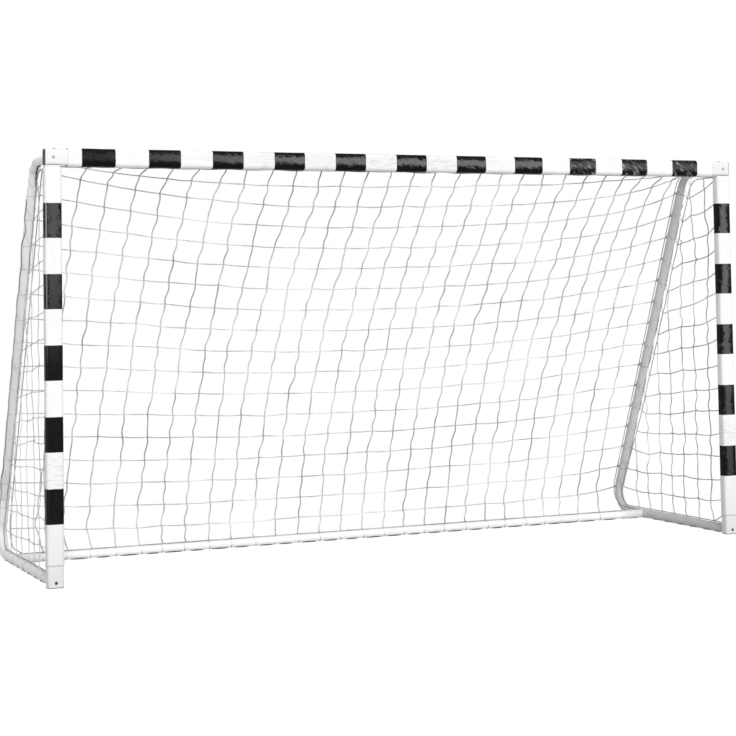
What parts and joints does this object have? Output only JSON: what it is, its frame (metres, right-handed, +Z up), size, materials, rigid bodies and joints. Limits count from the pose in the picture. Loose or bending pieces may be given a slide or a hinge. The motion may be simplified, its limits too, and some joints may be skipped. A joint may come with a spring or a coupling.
{
  "type": "soccer goal",
  "caption": "Free-standing backyard soccer goal: bolted tube frame with black and white sleeves on the front and a sloping knotted net.",
  "frame": {"origin": "on the ground, in the middle of the goal's width and depth", "axes": "+X to the right as seen from the front, +Y to the rear, +Z up"},
  "size_m": [3.0042, 0.9361, 1.6035],
  "materials": {
    "white_paint": "semi-gloss powder coat",
    "striped_vinyl": "glossy vinyl, white with black bands",
    "black_plastic": "fine moulded grain",
    "grey_plastic": "moulded",
    "zinc_steel": "zinc plated",
    "net_cord": "twisted polyethylene cord"
  },
  "bodies": {
    "root": {"crossbar_left": "white_paint", "crossbar_middle": "white_paint", "crossbar_right": "white_paint", "crossbar_joint_left": "grey_plastic", "crossbar_joint_right": "grey_plastic", "crossbar_end_cap_left": "black_plastic", "crossbar_end_cap_right": "black_plastic", "crossbar_sleeve": "striped_vinyl", "post_upper_left": "white_paint", "post_upper_right": "white_paint", "post_lower_left": "white_paint", "post_lower_right": "white_paint", "post_joint_left": "grey_plastic", "post_joint_right": "grey_plastic", "post_top_insert_left": "grey_plastic", "post_top_insert_right": "grey_plastic", "post_foot_cap_left": "black_plastic", "post_foot_cap_right": "black_plastic", "post_sleeve_left": "striped_vinyl", "post_sleeve_right": "striped_vinyl", "elbow_left": "white_paint", "elbow_right": "white_paint", "elbow_insert_left": "zinc_steel", "elbow_insert_right": "zinc_steel", "stay_left": "white_paint", "stay_right": "white_paint", "ground_tube_left": "white_paint", "ground_tube_right": "white_paint", "ground_tube_insert_left": "zinc_steel", "ground_tube_insert_right": "zinc_steel", "rear_bar_left": "white_paint", "rear_bar_middle": "white_paint", "rear_bar_right": "white_paint", "corner_bolt_left": "zinc_steel", "corner_bolt_right": "zinc_steel", "foot_bolt_left": "zinc_steel", "foot_bolt_right": "zinc_steel", "top_bolt_left": "zinc_steel", "top_bolt_right": "zinc_steel", "net_back": "net_cord", "net_side_left": "net_cord", "net_side_right": "net_cord"}
  },
  "joints": []
}
